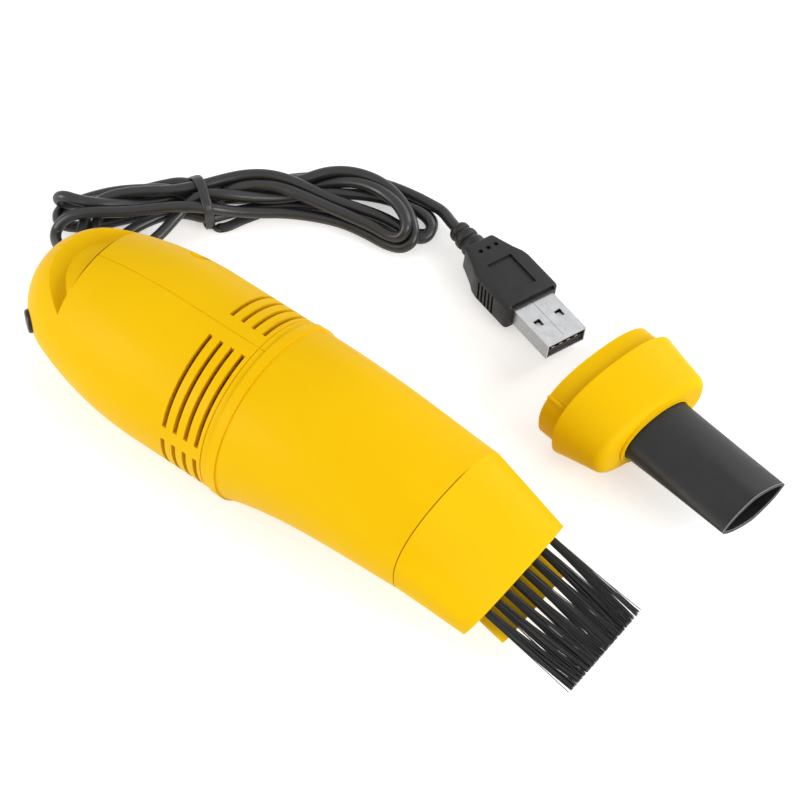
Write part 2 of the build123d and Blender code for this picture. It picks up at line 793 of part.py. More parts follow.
with BuildPart() as brush_head:
    with BuildSketch(cross_plane(cup_length, mouth_height)):
        add(oval_face(mouth_half_width, mouth_half_height, mouth_power))
    with BuildSketch(head_plane(0)):
        add(oval_face(head_half_width, head_half_height, head_power))
    loft()
    with BuildSketch(cross_plane(cup_length - collar_length, mouth_height)):
        add(oval_face(collar_half_width, collar_half_height, mouth_power))
    extrude(amount=collar_length)
    add(head_inside.part, mode=Mode.SUBTRACT)
    with BuildSketch(cross_plane(cup_length - collar_length, mouth_height)):
        add(oval_face(bore_half_width, bore_half_height, mouth_power))
    extrude(amount=collar_length, mode=Mode.SUBTRACT)
    # suction duct, through the bulkhead and out under the bristles
    with BuildSketch(head_plane(-bulkhead_recess - bulkhead_thickness, duct_offset)):
        SlotOverall(2 * duct_half_width, duct_height)
    extrude(amount=bulkhead_recess + bulkhead_thickness + duct_reach)
    with BuildSketch(head_plane(-bulkhead_recess - bulkhead_thickness, duct_offset)):
        SlotOverall(2 * (duct_half_width - duct_wall), duct_height - 2 * duct_wall)
    extrude(amount=bulkhead_recess + bulkhead_thickness + duct_reach, mode=Mode.SUBTRACT)
    # sockets of the tufts
    with BuildSketch(head_plane(-bulkhead_recess - tuft_hole_depth, tuft_offset, tuft_tilt)):
        with GridLocations(tuft_pitch, 1, tuft_count, 1):
            Circle(tuft_root_radius + tuft_fit)
    extrude(amount=2 * tuft_hole_depth, mode=Mode.SUBTRACT)
brush_head.part.label = "brush_head"
export_step(brush_head.part, "parts/brush_head.step")

# Row of nylon tufts, each a plain cone that splays towards its tip
with BuildPart() as bristle_tufts:
    with BuildSketch(head_plane(-bulkhead_recess - tuft_hole_depth, tuft_offset, tuft_tilt)):
        with GridLocations(tuft_pitch, 1, tuft_count, 1):
            Circle(tuft_root_radius)
    extrude(amount=tuft_length, taper=-degrees(atan2(tuft_tip_radius - tuft_root_radius, tuft_length)))
bristle_tufts.part.label = "bristle_tufts"
export_step(bristle_tufts.part, "parts/bristle_tufts.step")

# ---------------------------------------------------------------- spare nozzle


def lying_frame(heading, rise, roll):
    """Directions of a piece that lies on the table: forward, to its left, and up."""
    turn = radians(heading)
    forward = Vector(cos(turn) * cos(radians(rise)), sin(turn) * cos(radians(rise)), sin(radians(rise)))
    left = Vector(-sin(turn), cos(turn), 0)
    up = forward.cross(left)
    lean = radians(roll)
    return forward, left * cos(lean) + up * sin(lean), up * cos(lean) - left * sin(lean)


nozzle_forward, nozzle_left, nozzle_up = lying_frame(nozzle_heading, nozzle_rise, nozzle_roll)
# height of the rim's middle when its lowest point touches the table
rim_power = mouth_power / (mouth_power - 1)
rim_reach = abs(mouth_half_width * nozzle_left.Z) ** rim_power + (mouth_half_height * nozzle_up.Z) ** rim_power
nozzle_origin = Vector(nozzle_place[0], nozzle_place[1], rim_reach ** (1 / rim_power))


def nozzle_section(along):
    return Plane(origin=nozzle_origin + nozzle_forward * along, x_dir=nozzle_left, z_dir=nozzle_forward)


tube_rear = nozzle_cap_length - tube_insert


def tube_space(inset):
    """Solid inside the flat tube's outside."""
    with BuildPart() as solid:
        with BuildSketch(nozzle_section(tube_rear)):
            add(oval_face(tube_half_width - inset, tube_root_half_height - inset, tube_root_power))
        with BuildSketch(nozzle_section(tube_reach)):
            add(oval_face(tube_half_width - inset, tube_mouth_half_height - inset, tube_mouth_power))
        loft()
    return solid.part


with BuildPart() as spare_nozzle_cap:
    with BuildSketch(nozzle_section(0)):
        add(oval_face(mouth_half_width, mouth_half_height, mouth_power))
    with BuildSketch(nozzle_section(nozzle_cap_length)):
        add(oval_face(nozzle_front_half_width, nozzle_front_half_height, nozzle_front_power))
    loft()
    cap_front = spare_nozzle_cap.faces().sort_by(Axis((0, 0, 0), nozzle_forward))[-1]
    fillet(cap_front.edges(), radius=nozzle_edge_fillet)
    with BuildSketch(nozzle_section(-collar_length)):
        add(oval_face(collar_half_width, collar_half_height, mouth_power))
    extrude(amount=collar_length)
    with BuildSketch(nozzle_section(nozzle_cap_length - nozzle_edge_fillet)):
        ring_half_width = tube_half_width + part_fit + nozzle_ring_width
        ring_half_height = tube_root_half_height + part_fit + nozzle_ring_width
        add(oval_face(ring_half_width, ring_half_height, tube_root_power))
    extrude(amount=nozzle_edge_fillet + nozzle_ring_height)
    with BuildSketch(nozzle_section(-collar_length)):
        add(oval_face(bore_half_width, bore_half_height, mouth_power))
    extrude(amount=collar_length, mode=Mode.SUBTRACT)
    with BuildSketch(nozzle_section(0)):
        add(oval_face(bore_half_width, bore_half_height, mouth_power))
    with BuildSketch(nozzle_section(nozzle_cap_length - nozzle_front_wall)):
        share = 1 - nozzle_front_wall / nozzle_cap_length
        inner_half_width = mouth_half_width + (nozzle_front_half_width - mouth_half_width) * share - nozzle_wall
        inner_half_height = mouth_half_height + (nozzle_front_half_height - mouth_half_height) * share - nozzle_wall
        add(oval_face(inner_half_width, inner_half_height, nozzle_front_power))
    loft(mode=Mode.SUBTRACT)
    with BuildSketch(nozzle_section(tube_rear)):
        add(oval_face(tube_half_width + part_fit, tube_root_half_height + part_fit, tube_root_power))
    extrude(amount=nozzle_cap_length, mode=Mode.SUBTRACT)
spare_nozzle_cap.part.label = "spare_nozzle_cap"
export_step(spare_nozzle_cap.part, "parts/spare_nozzle_cap.step")

with BuildPart() as spare_nozzle_tube:
    add(tube_space(0))
    add(tube_space(tube_wall), mode=Mode.SUBTRACT)
spare_nozzle_tube.part.label = "spare_nozzle_tube"
export_step(spare_nozzle_tube.part, "parts/spare_nozzle_tube.step")

# ---------------------------------------------------------------- USB plug

plug_forward, plug_left, plug_up = lying_frame(plug_heading, 0, plug_roll)
# height of its middle when the lower edge touches the table
plug_lean = (plug_body_width / 2 - plug_edge_fillet) * abs(plug_left.Z)
plug_rest = plug_lean + (plug_height / 2 - plug_edge_fillet) * plug_up.Z + plug_edge_fillet
plug_origin = Vector(plug_front[0], plug_front[1], plug_rest)
overmold_front = -shell_exposed
overmold_rear = overmold_front - plug_body_length
overmold_waist = overmold_rear + plug_shoulder_length
relief_tip = overmold_rear - plug_relief_length


def plug_section(along):
    """Plane across the plug: local x to its left, local y up."""
    return Plane(origin=plug_origin + plug_forward * along, x_dir=plug_left, z_dir=plug_forward)


def plug_plan(above):
    """Plane along the plug, above its underside: local x forward, local y to its left."""
    middle = plug_origin + plug_up * (above - plug_height / 2)
    return Plane(origin=middle, x_dir=plug_forward, z_dir=plug_up)


with BuildPart() as usb_overmold:
    with BuildSketch(plug_plan(0)):
        with BuildLine():
            Polyline(
                (overmold_front, plug_body_width / 2),
                (overmold_waist, plug_body_width / 2),
                (overmold_rear, plug_neck_width / 2),
                (overmold_rear, -plug_neck_width / 2),
                (overmold_waist, -plug_body_width / 2),
                (overmold_front, -plug_body_width / 2),
                close=True,
            )
        make_face()
    extrude(amount=plug_height)
    fillet(usb_overmold.edges(), radius=plug_edge_fillet)
    # finger grooves in both narrow sides, a shallow panel in both broad ones
    with BuildSketch(plug_plan(0)):
        with Locations((overmold_front - plug_rib_middle, 0)):
            with GridLocations(plug_rib_pitch, plug_body_width, plug_rib_count, 2):
                Rectangle(plug_rib_width, 2 * plug_rib_depth)
    extrude(amount=plug_height, mode=Mode.SUBTRACT)
    panel_long, panel_wide, panel_deep = plug_panel
    with BuildSketch(plug_plan(0), plug_plan(plug_height - panel_deep)):
        with Locations(((overmold_front + overmold_waist) / 2, 0)):
            RectangleRounded(panel_long, panel_wide, panel_wide / 4)
    extrude(amount=panel_deep, mode=Mode.SUBTRACT)
    with BuildSketch(plug_section(overmold_front - shell_sunk)):
        Rectangle(shell_width + 2 * insulator_fit, shell_height + 2 * insulator_fit)
    extrude(amount=shell_sunk, mode=Mode.SUBTRACT)
    # ringed relief round the lead
    with BuildSketch(plug_section(overmold_rear + plug_edge_fillet)):
        Circle(plug_relief_root)
    with BuildSketch(plug_section(relief_tip)):
        Circle(plug_relief_tip)
    loft()
    for step in range(plug_relief_grooves):
        with BuildSketch(plug_section(relief_tip + (step + 0.5) * plug_relief_pitch)):
            Circle(2 * plug_relief_root)
            Circle(plug_relief_tip - plug_rib_depth, mode=Mode.SUBTRACT)
        extrude(amount=plug_relief_pitch / 2, mode=Mode.SUBTRACT)
usb_overmold.part.label = "usb_overmold"
export_step(usb_overmold.part, "parts/usb_overmold.step")

with BuildPart() as usb_shell:
    with BuildSketch(plug_section(overmold_front - shell_sunk)):
        Rectangle(shell_width, shell_height)
        Rectangle(shell_width - 2 * shell_wall, shell_height - 2 * shell_wall, mode=Mode.SUBTRACT)
    extrude(amount=shell_sunk + shell_exposed)
    hole_long, hole_wide = shell_hole
    with BuildSketch(plug_plan(0)):
        with Locations((-shell_hole_from_front, 0)):
            with GridLocations(1, shell_hole_spacing, 1, 2):
                Rectangle(hole_long, hole_wide)
    extrude(amount=plug_height, mode=Mode.SUBTRACT)
usb_shell.part.label = "usb_shell"
export_step(usb_shell.part, "parts/usb_shell.step")

shell_inside = shell_height / 2 - shell_wall

with BuildPart() as usb_insulator:
    insulator_top = insulator_height - shell_inside
    with BuildSketch(plug_section(overmold_front - shell_sunk)):
        with Locations((0, insulator_top - insulator_height / 2)):
            Rectangle(shell_width - 2 * (shell_wall + insulator_fit), insulator_height)
    extrude(amount=shell_sunk + shell_exposed - insulator_recess)
usb_insulator.part.label = "usb_insulator"
export_step(usb_insulator.part, "parts/usb_insulator.step")

with BuildPart() as usb_contacts:
    contact_long, contact_wide, contact_thick = contact_size
    with BuildSketch(plug_plan(plug_height / 2 + insulator_top)):
        with Locations((-insulator_recess - contact_long / 2, 0)):
            with GridLocations(1, contact_pitch, 1, contact_count):
                Rectangle(contact_long, contact_wide)
    extrude(amount=contact_thick)
usb_contacts.part.label = "usb_contacts"
export_step(usb_contacts.part, "parts/usb_contacts.step")

# ---------------------------------------------------------------- lead, hank and tie


def cord_tube(points, label):
    """Tube along straight runs joined by the largest arcs they allow."""
    corners = [Vector(*point) for point in points]
    radii = []
    for before, corner, after in zip(corners, corners[1:], corners[2:]):
        turn = (corner - before).get_angle(after - corner)
        shorter = min((corner - before).length, (after - corner).length)
        radii.append(0.45 * shorter / tan(radians(turn / 2)))
    print(label, "radii", [round(radius, 1) for radius in radii])
    with BuildPart() as solid:
        with BuildLine() as route:
            FilletPolyline(*corners, radius=radii)
        with BuildSketch(Plane(origin=route.line @ 0, z_dir=route.line % 0)):
            Circle(cord_radius)
        sweep()
    tube_volume = pi * cord_radius**2 * route.wire().length
    print(label, "volume", round(solid.part.volume, 2), "section times length", round(tube_volume, 2))
    return solid.part


lead_start = nose_plane(gland_direction, gland_end).origin
lead_bend = nose_plane(gland_direction, gland_end + lead_run).origin
tail_start = plug_section(relief_tip).origin
tail_bend = plug_section(relief_tip - tail_run).origin

with BuildPart() as cord_lead:
    add(cord_tube((lead_start, lead_bend, *lead_points), "cord_lead"))
cord_lead.part.label = "cord_lead"
export_step(cord_lead.part, "parts/cord_lead.step")

with BuildPart() as cord_tail:
    add(cord_tube((tail_start, tail_bend, *tail_points), "cord_tail"))
cord_tail.part.label = "cord_tail"
export_step(cord_tail.part, "parts/cord_tail.step")

# Outer shape of the hanked lead
with BuildPart() as cord_hank:
    with BuildSketch():
        with BuildLine():
            Spline(*hank_outline, periodic=True)
        make_face()
    extrude(amount=hank_height)
    rims = cord_hank.edges().filter_by(Plane.XY)
    fillet(rims, radius=hank_fillet)
cord_hank.part.label = "cord_hank"
export_step(cord_hank.part, "parts/cord_hank.step")

# Turn of wire that ties the hank's waist
tie_forward, tie_left, tie_up = lying_frame(tie_heading, 0, 0)
tie_middle = Vector(tie_place[0], tie_place[1], tie_radius + tie_height / 2)

with BuildSketch(Plane(origin=tie_middle, x_dir=tie_left, z_dir=tie_forward)) as tie_loop:
    RectangleRounded(tie_width, tie_height, tie_corner)

with BuildPart() as cord_tie:
    tie_path = tie_loop.sketch.face().outer_wire()
    with BuildSketch(Plane(origin=tie_path @ 0, z_dir=tie_path % 0)):
        Circle(tie_radius)
    sweep(path=tie_path)
cord_tie.part.label = "cord_tie"
export_step(cord_tie.part, "parts/cord_tie.step")
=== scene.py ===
import bpy
import bmesh
import math
import random
from mathutils import Matrix, Vector


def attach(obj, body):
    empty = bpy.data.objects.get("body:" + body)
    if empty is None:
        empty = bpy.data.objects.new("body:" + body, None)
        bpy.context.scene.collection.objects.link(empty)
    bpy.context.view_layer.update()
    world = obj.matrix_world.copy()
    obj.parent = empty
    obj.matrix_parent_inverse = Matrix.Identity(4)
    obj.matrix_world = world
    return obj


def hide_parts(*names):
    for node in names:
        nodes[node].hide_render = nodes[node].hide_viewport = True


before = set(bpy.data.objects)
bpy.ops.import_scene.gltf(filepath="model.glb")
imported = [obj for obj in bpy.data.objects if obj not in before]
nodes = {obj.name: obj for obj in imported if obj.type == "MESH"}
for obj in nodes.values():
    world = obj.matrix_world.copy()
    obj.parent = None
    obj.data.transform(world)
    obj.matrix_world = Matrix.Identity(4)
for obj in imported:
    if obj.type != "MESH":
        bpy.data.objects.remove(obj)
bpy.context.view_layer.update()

MM = 0.001
CORD_RADIUS = 0.00145

# The lead's route in millimetres: out of the gland, through the hank, to the plug
ROUTE = (
    (-72.5, 11.8, 9.6), (-77.9, 14.8, 6.4), (-82.6, 17.2, 4.2), (-84.9, 19.6, 4.1), (-84.4, 22.0, 6.6),
    (-82.3, 24.4, 8.5), (-78.7, 27.1, 9.4), (-73.8, 30.8, 9.3), (-68.7, 35.9, 9.2), (-63.0, 41.3, 9.6),
    (-57.5, 45.4, 9.3), (-53.4, 49.6, 6.9), (-48.5, 54.1, 5.4), (-43.1, 59.1, 4.7), (-36.9, 63.1, 4.1),
    (-30.6, 66.2, 3.4), (-23.9, 67.6, 2.8), (-18.0, 68.0, 2.4), (-13.4, 68.9, 3.4), (-11.8, 71.5, 5.5),
    (-14.5, 74.6, 6.9), (-19.4, 77.6, 7.3), (-24.9, 79.4, 7.5), (-30.8, 79.6, 7.7), (-37.0, 77.7, 7.6),
    (-41.8, 74.0, 7.3), (-45.1, 69.0, 6.5), (-49.0, 64.0, 5.4), (-53.3, 58.5, 4.7), (-57.7, 54.2, 3.7),
    (-62.9, 50.3, 3.4), (-68.9, 46.2, 7.1), (-75.2, 42.2, 6.1), (-80.6, 38.4, 5.0), (-84.8, 34.8, 3.4),
    (-87.7, 31.9, 2.0), (-89.9, 29.0, 1.5), (-89.7, 25.5, 1.7), (-86.8, 23.3, 1.9), (-83.4, 25.0, 1.6),
    (-79.8, 28.5, 1.5), (-75.9, 33.8, 1.5), (-72.0, 39.4, 1.5), (-67.6, 44.7, 1.6), (-60.1, 48.0, 3.7),
    (-56.9, 54.7, 8.0), (-52.8, 59.3, 8.3), (-47.3, 62.2, 8.7), (-41.4, 63.5, 8.7), (-35.2, 65.0, 7.8),
    (-28.9, 66.8, 6.8), (-22.6, 68.5, 5.7), (-17.9, 68.8, 5.1), (-14.3, 69.6, 6.4), (-14.4, 72.2, 9.3),
    (-19.2, 75.2, 9.5), (-25.5, 76.8, 8.7), (-31.3, 76.5, 8.0), (-36.6, 74.7, 6.7), (-41.0, 71.7, 4.9),
    (-44.8, 67.9, 3.5), (-49.6, 64.2, 2.0), (-54.5, 59.2, 1.7), (-59.2, 55.3, 1.5), (-64.5, 52.2, 1.6),
    (-68.1, 47.7, 3.1), (-70.5, 42.8, 4.5), (-73.6, 37.4, 6.1), (-76.7, 32.8, 8.2), (-80.0, 29.4, 9.6),
    (-84.3, 27.7, 9.3), (-87.6, 26.4, 9.8), (-89.8, 26.2, 7.4), (-89.3, 27.5, 4.2), (-85.9, 30.5, 4.1),
    (-80.7, 34.3, 5.4), (-75.9, 38.7, 3.8), (-72.2, 44.8, 2.1), (-69.6, 50.3, 1.5), (-66.5, 54.4, 1.5),
    (-60.6, 57.8, 1.5), (-56.8, 62.1, 1.6), (-52.6, 67.4, 1.7), (-47.8, 72.5, 1.9), (-42.0, 76.9, 1.9),
    (-35.6, 80.2, 1.9), (-28.9, 82.0, 1.8), (-23.1, 82.7, 1.6), (-18.1, 82.8, 1.5), (-13.5, 81.8, 1.5),
    (-11.7, 77.8, 1.5), (-14.6, 75.5, 1.5), (-18.8, 74.5, 1.6), (-25.2, 73.1, 1.8), (-32.0, 70.7, 2.1),
    (-38.9, 66.9, 2.4), (-45.5, 62.2, 2.6), (-50.8, 57.0, 2.7), (-54.9, 51.8, 2.9), (-57.5, 46.0, 4.0),
    (-62.7, 44.3, 4.2), (-66.3, 41.1, 4.1), (-68.6, 36.3, 4.5), (-70.1, 30.6, 4.8), (-70.3, 24.7, 5.2),
    (-70.9, 20.1, 5.1), (-74.7, 19.5, 4.7), (-78.5, 22.2, 4.7), (-80.9, 25.9, 5.4), (-81.4, 30.0, 6.6),
    (-80.1, 33.4, 7.7), (-77.2, 37.1, 8.2), (-72.5, 41.0, 8.7), (-67.5, 44.8, 8.9), (-63.0, 50.3, 8.9),
    (-59.3, 56.2, 8.9), (-55.6, 60.6, 9.0), (-51.1, 63.8, 9.0), (-45.9, 65.6, 8.8), (-40.6, 66.6, 8.3),
    (-34.9, 68.1, 7.1), (-28.5, 70.6, 6.1), (-22.5, 72.7, 5.2), (-17.1, 73.5, 4.2), (-13.8, 73.1, 3.3),
    (-10.7, 75.0, 3.3), (-11.3, 78.6, 4.5), (-15.5, 79.8, 5.1), (-21.2, 79.5, 4.1), (-26.3, 78.1, 4.4),
    (-31.9, 75.0, 4.8), (-37.1, 71.0, 5.2), (-42.2, 66.4, 5.4), (-46.5, 61.4, 5.6), (-51.3, 56.1, 7.4),
    (-55.9, 51.8, 9.3), (-60.6, 48.5, 9.4), (-62.6, 44.5, 7.4), (-63.1, 39.9, 5.8), (-63.5, 34.5, 4.3),
    (-64.7, 29.5, 3.3), (-66.4, 24.4, 2.4), (-70.6, 22.3, 2.1), (-75.1, 23.8, 3.5), (-78.0, 27.3, 5.5),
    (-81.0, 33.0, 2.3), (-80.7, 38.0, 1.8), (-78.0, 42.6, 2.4), (-73.9, 47.2, 3.6), (-69.5, 51.0, 4.9),
    (-62.8, 52.1, 6.1), (-59.8, 57.4, 4.3), (-55.5, 61.6, 4.5), (-50.5, 66.4, 4.4), (-45.6, 71.4, 4.0),
    (-40.0, 76.3, 4.3), (-33.4, 80.0, 4.7), (-26.4, 82.2, 4.7), (-20.4, 83.4, 4.4), (-15.6, 83.9, 4.1),
    (-12.8, 84.6, 3.2), (-7.6, 81.9, 4.5), (-4.9, 81.1, 4.7),
)


def metres(points):
    """Points in millimetres, as vectors in metres."""
    return [Vector(p) * MM for p in points]


def lying(heading, rise, roll, origin):
    """Frame of a piece that lies on the table, from degrees and mm: x forward, y to its left, z up."""
    turn, climb, lean = (math.radians(a) for a in (heading, rise, roll))
    forward = Vector((math.cos(turn) * math.cos(climb), math.sin(turn) * math.cos(climb), math.sin(climb)))
    flat = Vector((-math.sin(turn), math.cos(turn), 0.0))
    left = flat * math.cos(lean) + forward.cross(flat) * math.sin(lean)
    made = Matrix((forward, left, forward.cross(left))).transposed().to_4x4()
    made.translation = Vector(origin) * MM
    return made


def pitched(drop):
    """Forward and upward directions in the symmetry plane, tipped down by drop degrees."""
    angle = math.radians(drop)
    forward = Vector((math.cos(angle), 0.0, -math.sin(angle)))
    return forward, Vector((math.sin(angle), 0.0, math.cos(angle)))


PLUG_PLACE = lying(-15.6, 0.0, -8.0, (36.5, 69.5, 4.72))
NOZZLE_PLACE = lying(-8.8, 2.0, -3.0, (57.4, 59.2, 12.383))


# ---------------------------------------------------------------- materials

# ranges of a noise node's output: where most of its values lie, and the same moved up
USUAL = (0.3, 0.7)
UPPER = (0.35, 0.75)
GRAIN_DEPTH = 0.00006
LINE_EDGE = 0.00004

YELLOW_DEEP, YELLOW_BASE, YELLOW_PALE = (0.825, 0.485, 0.0015), (0.845, 0.50, 0.002), (0.865, 0.52, 0.003)
# colour of the painted shadow lines, in a joint and under a step
JOINT_SHADOW = (0.30, 0.125, 0.0)
JOINT_FADE_ACROSS, JOINT_FADE_UP = 0.005, 0.0004

# the tube's own x at the edge of its mouth, where a highlight is painted; the plug's own y, x and z at the
# shell's side and seam
TUBE_LIP = (0.04646, 0.04656)
TUBE_LIP_HIGHLIGHT = (0.30, 0.30, 0.31)
SHELL_SIDE = (-0.00588, -0.00596)
SHELL_SEAM_Y, SHELL_SEAM_X, SHELL_SEAM_Z = (-0.00036, -0.00026), (-0.0136, -0.0012), (0.0020, 0.0021)
SHELL_SIDE_DARKER, SHELL_DARK = (0.42, 0.425, 0.435), (0.20, 0.20, 0.21)


class Surface:
    """A Principled material with helpers for the nodes that drive it."""

    def __init__(self, name, colour, roughness, metallic=0.0, specular=0.5):
        self.material = bpy.data.materials.new(name)
        self.material.use_nodes = True
        tree = self.material.node_tree
        self.nodes, self.links = tree.nodes, tree.links
        self.shader = self.nodes["Principled BSDF"]
        self.set("Base Color", (*colour, 1.0))
        self.set("Roughness", roughness)
        self.set("Metallic", metallic)
        self.set("Specular IOR Level", specular)
        self.place = self.nodes.new("ShaderNodeTexCoord").outputs["Object"]
        self.tone = None

    def set(self, socket, value):
        self.shader.inputs[socket].default_value = value

    def link(self, output, socket):
        self.links.new(output, self.shader.inputs[socket])

    def paint(self, tone):
        """Takes the tone as the base colour, and keeps it for what is drawn over it."""
        self.tone = tone
        self.link(tone, "Base Color")

    def noise(self, scale, detail=3.0, rough=0.5, vector=None):
        node = self.nodes.new("ShaderNodeTexNoise")
        node.inputs["Scale"].default_value = scale
        node.inputs["Detail"].default_value = detail
        node.inputs["Roughness"].default_value = rough
        self.links.new(vector or self.place, node.inputs["Vector"])
        return node.outputs["Fac"]

    def stretch(self, scale):
        """The point, scaled along each axis."""
        node = self.nodes.new("ShaderNodeMapping")
        node.inputs["Scale"].default_value = scale
        self.links.new(self.place, node.inputs["Vector"])
        return node.outputs["Vector"]

    def split(self, vector):
        """A vector's x, y and z."""
        node = self.nodes.new("ShaderNodeSeparateXYZ")
        self.links.new(vector, node.inputs[0])
        return node.outputs

    def span(self, value, low, high, start=0.0, end=1.0):
        """The value moved from low..high to start..end."""
        node = self.nodes.new("ShaderNodeMapRange")
        for socket, number in zip(("From Min", "From Max", "To Min", "To Max"), (low, high, start, end)):
            node.inputs[socket].default_value = number
        self.links.new(value, node.inputs["Value"])
        return node.outputs["Result"]

    def within(self, value, low, high, soft=LINE_EDGE):
        """1 between low and high, falling to 0 over a short way outside them."""
        return self.times(self.span(value, low - soft, low), self.span(value, high + soft, high))

    def times(self, first, second):
        node = self.nodes.new("ShaderNodeMath")
        node.operation = "MULTIPLY"
        self.links.new(first, node.inputs[0])
        self.links.new(second, node.inputs[1])
        return node.outputs[0]

    def local(self, place):
        """The point in a piece's own frame, as separate x, y and z."""
        back = place.inverted()
        node = self.nodes.new("ShaderNodeMapping")
        node.inputs["Location"].default_value = back.translation
        node.inputs["Rotation"].default_value = back.to_euler()
        self.links.new(self.place, node.inputs["Vector"])
        return self.split(node.outputs["Vector"])

    def mix(self, factor, first, second):
        """The first colour or output where the factor is 0, and the second where it is 1."""
        node = self.nodes.new("ShaderNodeMix")
        node.data_type = "RGBA"
        self.links.new(factor, node.inputs["Factor"])
        for socket, value in zip(("A", "B"), (first, second)):
            slot = [s for s in node.inputs if s.name == socket and s.type == "RGBA"][0]
            if isinstance(value, tuple):
                slot.default_value = (*value, 1.0)
            else:
                self.links.new(value, slot)
        return [s for s in node.outputs if s.type == "RGBA"][0]

    def bump(self, height, strength, distance, below=None):
        node = self.nodes.new("ShaderNodeBump")
        node.inputs["Strength"].default_value = strength
        node.inputs["Distance"].default_value = distance
        self.links.new(height, node.inputs["Height"])
        if below is not None:
            self.links.new(below, node.inputs["Normal"])
        self.link(node.outputs["Normal"], "Normal")
        return node.outputs["Normal"]


def yellow_plastic(name="yellow_abs", seam=None, across=None, above=0.0):
    """Satin moulded ABS: faint flow marks, a fine spark-eroded grain, slightly uneven gloss.

    seam is the range of x, along the body, in which a painted shadow line is drawn: shade in a joint, or
    under a step. The line fades outside the range of y in across, and there is none below the height in
    above.
    """
    s = Surface(name, YELLOW_BASE, 0.42, specular=0.05)
    flow = s.noise(38.0, 3.0, 0.55, s.stretch((0.6, 1.0, 1.0)))
    tone = s.mix(s.span(flow, *USUAL), YELLOW_DEEP, YELLOW_PALE)
    if seam:
        x, y, z = s.split(s.place)
        line = s.times(s.within(x, *seam), s.within(y, *across, JOINT_FADE_ACROSS))
        line = s.times(line, s.span(z, above, above + JOINT_FADE_UP))
        tone = s.mix(line, tone, JOINT_SHADOW)
    s.paint(tone)
    s.link(s.span(s.noise(90.0, 4.0, 0.6), *USUAL, 0.38, 0.47), "Roughness")
    broad = s.bump(flow, 0.12, 0.0004)
    s.bump(s.noise(5200.0, 2.0), 0.10, GRAIN_DEPTH, broad)
    return s.material


def moulded_surface(name, grain, strength, roughness, base, specular=0.35):
    """Moulded plastic or rubber with a fine grain and a little dust in it."""
    s = Surface(name, base, roughness, specular=specular)
    lighter = tuple(v * 1.45 for v in base)
    s.paint(s.mix(s.span(s.noise(160.0, 4.0, 0.6), *UPPER), base, lighter))
    s.link(s.span(s.noise(300.0, 3.0), *USUAL, roughness - 0.06, roughness + 0.07), "Roughness")
    s.bump(s.noise(grain, 2.0), strength, GRAIN_DEPTH)
    return s


def plastic(*how):
    return moulded_surface(*how).material


def tube_plastic():
    """The flat tube's plastic, with a painted highlight in a thin pale band round the edge of its mouth."""
    s = moulded_surface("black_tube", 5200.0, 0.12, 0.42, (0.0125, 0.0125, 0.013))
    along = s.local(NOZZLE_PLACE)[0]
    # painted highlight: a thin pale band at the edge of the mouth
    s.paint(s.mix(s.within(along, *TUBE_LIP), s.tone, TUBE_LIP_HIGHLIGHT))
    return s.material


def metal_surface(name, colour, roughness, along):
    """Plated metal: fine drawn lines along one direction and faint handling marks."""
    s = Surface(name, colour, roughness, metallic=1.0)
    marks = s.noise(420.0, 5.0, 0.65)
    s.link(s.span(marks, *UPPER, roughness - 0.05, roughness + 0.12), "Roughness")
    s.paint(s.mix(s.span(marks, USUAL[0], UPPER[1]), tuple(v * 0.86 for v in colour), colour))
    s.bump(s.noise(900.0, 3.0, 0.6, s.stretch(along)), 0.06, 0.00004)
    return s


def metal(*how):
    return metal_surface(*how).material


def shell_metal():
    """The plug's folded shell: its narrow side towards its own -y painted darker, and the seam of the fold
    along one broad face.
    """
    s = metal_surface("plug_steel", (0.64, 0.645, 0.655), 0.30, (1.0, 12.0, 1.0))
    x, y, z = s.local(PLUG_PLACE)
    # the narrow side towards the plug's own -y is painted darker
    tone = s.mix(s.span(y, *SHELL_SIDE), s.tone, SHELL_SIDE_DARKER)
    seam = s.times(s.within(y, *SHELL_SEAM_Y), s.within(x, *SHELL_SEAM_X))
    seam = s.times(seam, s.span(z, *SHELL_SEAM_Z))
    s.paint(s.mix(seam, tone, SHELL_DARK))
    return s.material


def cloth(name, colour):
    """Fine woven screen."""
    s = Surface(name, colour, 0.85)
    wave = s.nodes.new("ShaderNodeTexWave")
    wave.inputs["Scale"].default_value = 700.0
    s.links.new(s.place, wave.inputs["Vector"])
    s.paint(s.mix(wave.outputs["Fac"], tuple(v * 0.7 for v in colour), colour))
    s.bump(wave.outputs["Fac"], 0.5, 0.0001)
    return s.material


YELLOW = yellow_plastic()
# the housing's painted shadow line lies along the step at the front edge of its rear scoop; the cup's lies
# in its joint with the head
HOUSING = yellow_plastic("yellow_housing", seam=(-0.05125, -0.05090), across=(-0.0050, 0.0040), above=0.0342)
CUP = yellow_plastic("yellow_cup", seam=(0.05275, 0.05305), across=(-0.030, 0.004))
TUBE = tube_plastic()
NICKEL = shell_metal()
# each: name, grain's scale and strength, roughness, colour, and a specular level if it isn't the usual one
PLUG = plastic("plug_body", 4200.0, 0.16, 0.46, (0.0105, 0.0105, 0.011))
RUBBER = plastic("black_rubber", 3000.0, 0.15, 0.55, (0.012, 0.012, 0.0125))
JACKET = plastic("cord_jacket", 2600.0, 0.10, 0.35, (0.0135, 0.0135, 0.014), 0.5)
TIE = plastic("tie_wire", 2200.0, 0.14, 0.40, (0.016, 0.016, 0.0165), 0.45)
BUTTON = plastic("black_button", 4000.0, 0.08, 0.32, (0.010, 0.010, 0.0105))
BRISTLE = plastic("bristle", 2400.0, 0.05, 0.36, (0.012, 0.012, 0.0125), 0.5)
WHITE = plastic("white_plastic", 4200.0, 0.10, 0.5, (0.56, 0.56, 0.54))
FERRITE = plastic("magnet_ferrite", 1500.0, 0.3, 0.7, (0.05, 0.05, 0.055))
